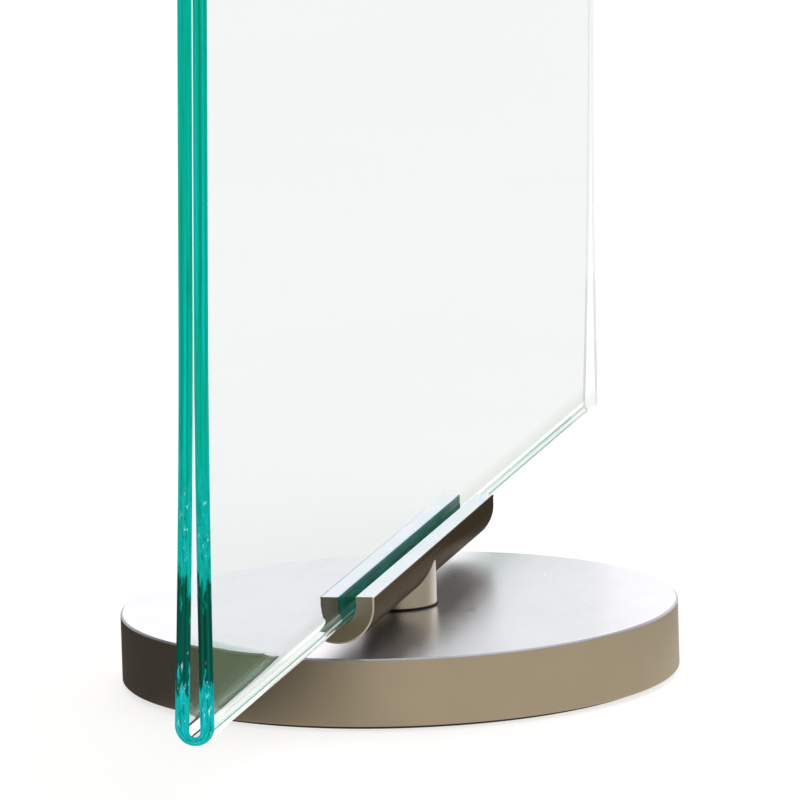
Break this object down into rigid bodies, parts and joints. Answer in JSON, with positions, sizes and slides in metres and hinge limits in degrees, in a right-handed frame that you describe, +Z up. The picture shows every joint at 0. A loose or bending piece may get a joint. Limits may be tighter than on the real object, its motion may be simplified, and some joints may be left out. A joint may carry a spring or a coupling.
{
  "type": "tabletop glass picture stand",
  "caption": "Round-based swivelling picture stand: a glass sheet folded into a narrow U stands in a grooved bar on a short post.",
  "frame": {"origin": "bottom of the felt pad, under the centre of the round base, on the swivel axis", "axes": "+Z up along the swivel axis, X along the glass and the grooved bar at rest, -Y towards the face that the glass leans to"},
  "size_m": [0.368, 0.12, 0.2686],
  "materials": {
    "glass": "clear green-edged float glass, ground and polished edges",
    "bedding": "soft green elastomer",
    "nickel": "satin nickel plate, warm grey",
    "nickel_base": "satin nickel plate, fine grain",
    "steel": "zinc-plated steel",
    "spring_steel": "dark spring steel, oiled",
    "black_nylon": "black nylon",
    "white_nylon": "natural nylon",
    "blue_nylon": "blue nylon locking ring",
    "felt": "pressed dark felt"
  },
  "bodies": {
    "stand": {"base_disc": "nickel_base", "base_pad": "felt", "swivel_bush": "black_nylon", "thrust_washer": "white_nylon"},
    "turntable": {"glass_panel": "glass", "slot_bedding": "bedding", "saddle_bar": "nickel", "post": "nickel", "centre_bolt": "steel", "disc_spring": "spring_steel", "retaining_washer": "steel", "lock_nut": "steel", "nut_ring": "blue_nylon"}
  },
  "joints": [
    {"name": "swivel", "type": "hinge", "parent": "stand", "child": "turntable", "pos_m": [0, 0, 0.012], "axis": [0, 0, 1], "continuous": true}
  ]
}
